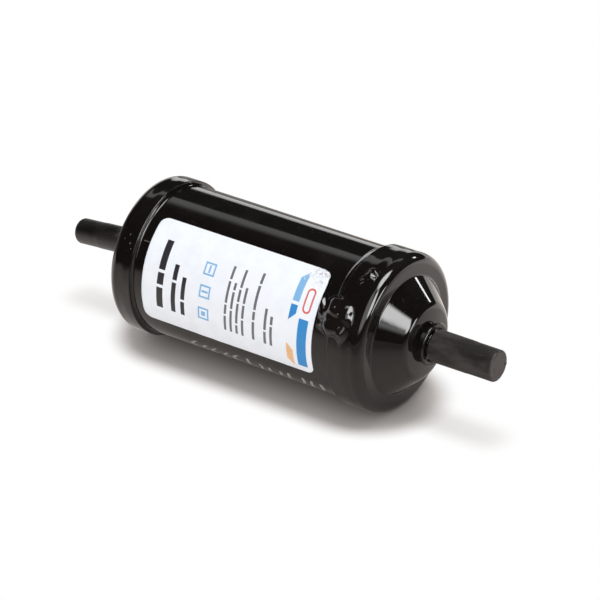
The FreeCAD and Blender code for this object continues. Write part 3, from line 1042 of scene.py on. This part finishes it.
unseen = add(tree, "ShaderNodeMixShader", {
    0: rays.outputs["Is Glossy Ray"], 1: paper.outputs[0], 2: mirrored.outputs[0],
})
both = add(tree, "ShaderNodeMixShader", {
    0: rays.outputs["Is Camera Ray"], 1: unseen.outputs[0], 2: seen.outputs[0],
})
add(tree, "ShaderNodeOutputMaterial", {"Surface": both.outputs[0]})
floor_mesh.materials.append(floor_mat)

# Softboxes as the gloss shows them: brightness, corners as azimuth and elevation, and softness of the
# edge after each corner, all in degrees
SOFTBOXES = [
    (12.0, [(27, 47), (47, 55), (52, 68), (30, 80), (-20, 74), (-12, 55), (0, 48)], [5, 4, 10, 12, 12, 8, 4]),
    (12.0, [(-1, 15), (-2, 46), (-23.5, 46), (-23.5, 24), (-26, 18), (-10, 13)], [7, 4, 5, 5, 5, 5]),
    (2.2, [(-24, 18), (-24, 68), (-62, 62), (-68, 14), (-45, 12)], [4, 12, 10, 8, 6]),
    (8.0, [(26, 8), (19, 13.5), (5, 4), (12, -6), (20, -4)], [2, 2, 3, 4, 4]),
    (14.0, [(75.2, 22.7), (69.0, 17.3), (71.6, 14.5), (77.8, 19.9)], [1, 2, 1, 2]),
]
# Two directions on the upper edge of the bright wall behind, and the azimuth of its left end
WALL_EDGE = ((85, 2.5), (124, 10))
WALL_END = 160
# The strip light above the wall: the azimuths of its ends, and the heights between which its lower and
# its upper edge fade
STRIP_ENDS = (84, 158)
STRIP_LOW = (0.637, 0.659)
STRIP_HIGH = (0.785, 0.715)
# Brightness of the even light on matt surfaces, of the wall and of the strip
AMBIENT = 0.55
WALL = 1.6
BACK_STRIP = 0.9
world = bpy.data.worlds.new("studio")
bpy.context.scene.world = world
world.use_nodes = True
tree = world.node_tree
tree.nodes.clear()
rays = add(tree, "ShaderNodeLightPath")
ray = add(tree, "ShaderNodeTexCoord").outputs["Generated"]
height = part_of(tree, ray, "Z")
above_wall = direction(*WALL_EDGE[0]).cross(direction(*WALL_EDGE[1])).normalized()
glossy = ramp(tree, dot(tree, ray, above_wall), 0.035, -0.035, 0.02, WALL)
glossy = maths(tree, "MULTIPLY", glossy, ramp(tree, dot(tree, ray, FRONT), 0.0, -0.25, 0.05, 1.0))
left_end = ramp(tree, dot(tree, ray, towards_right(WALL_END)), -0.06, 0.06, 0.12, 1.0)
glossy = maths(tree, "MULTIPLY", glossy, left_end)
strip = ramp(tree, height, *STRIP_LOW, 0.0, BACK_STRIP)
strip = maths(tree, "MULTIPLY", strip, ramp(tree, height, *STRIP_HIGH))
for inward in (-towards_right(STRIP_ENDS[0]), towards_right(STRIP_ENDS[1])):
    strip = maths(tree, "MULTIPLY", strip, ramp(tree, dot(tree, ray, inward), -0.03, 0.03))
glossy = maths(tree, "ADD", glossy, strip)
for brightness, corners, softness in SOFTBOXES:
    lit = maths(tree, "MULTIPLY", patch(tree, ray, corners, softness), brightness)
    glossy = maths(tree, "MAXIMUM", glossy, lit)
glossy = maths(tree, "MULTIPLY", rays.outputs["Is Glossy Ray"], glossy)
dull = maths(tree, "MULTIPLY", maths(tree, "SUBTRACT", 1.0, rays.outputs["Is Glossy Ray"]), AMBIENT)
unseen = maths(tree, "ADD", glossy, dull)
other = maths(tree, "MULTIPLY", maths(tree, "SUBTRACT", 1.0, rays.outputs["Is Camera Ray"]), unseen)
level = maths(tree, "ADD", rays.outputs["Is Camera Ray"], other)
sky = add(tree, "ShaderNodeBackground", {"Color": (1, 1, 1, 1), "Strength": level})
add(tree, "ShaderNodeOutputWorld", {"Surface": sky.outputs[0]})


def lamp(name, azimuth, elevation, distance, width, height, radiance):
    """Area lamp of a given brightness that lights the matt surfaces and shows in no gloss."""
    data = bpy.data.lights.new(name, "AREA")
    data.shape = "RECTANGLE"
    data.size = width
    data.size_y = height
    data.energy = radiance * math.pi * width * height
    obj = bpy.data.objects.new(name, data)
    obj.location = direction(azimuth, elevation) * distance
    obj.rotation_mode = "QUATERNION"
    obj.rotation_quaternion = (-obj.location).to_track_quat("-Z", "Y")
    obj.visible_camera = False
    obj.visible_glossy = False
    bpy.context.scene.collection.objects.link(obj)


lamp("overhead_lamp", azimuth=60, elevation=82, distance=1.3, width=1.0, height=1.0, radiance=2.5)
lamp("front_lamp", azimuth=-62, elevation=22, distance=1.5, width=0.8, height=0.6, radiance=5.9)

# The photo's camera: its angle from the label's side in degrees, its distance, and how far its axis
# passes to the right of the vessel's middle and below it
AZIMUTH, ELEVATION, ROLL = 36.017, 27.942, -0.114
DISTANCE = 40 * SHELL_R * MM
ASIDE = 0.275 * SHELL_R * MM
BELOW = 0.102 * SHELL_R * MM
FOCAL_LENGTH = 186.19
a, e, roll = (math.radians(v) for v in (AZIMUTH, ELEVATION, ROLL))
back = Vector((math.sin(a) * math.cos(e), -math.cos(a) * math.cos(e), math.sin(e)))
level_right = Vector((math.cos(a), math.sin(a), 0))
level_up = back.cross(level_right)
right = level_right * math.cos(roll) + level_up * math.sin(roll)
up = level_up * math.cos(roll) - level_right * math.sin(roll)
camera_data = bpy.data.cameras.new("camera")
camera_data.lens = FOCAL_LENGTH
camera_data.sensor_width = 36
camera_data.clip_start = 0.05
camera_data.clip_end = 30
camera = bpy.data.objects.new("camera", camera_data)
where = back * DISTANCE + right * ASIDE - up * BELOW
camera.matrix_world = Matrix((
    (right.x, up.x, back.x, where.x),
    (right.y, up.y, back.y, where.y),
    (right.z, up.z, back.z, where.z),
    (0, 0, 0, 1),
))
bpy.context.scene.collection.objects.link(camera)
bpy.context.scene.camera = camera
bpy.context.scene.view_settings.view_transform = "Standard"
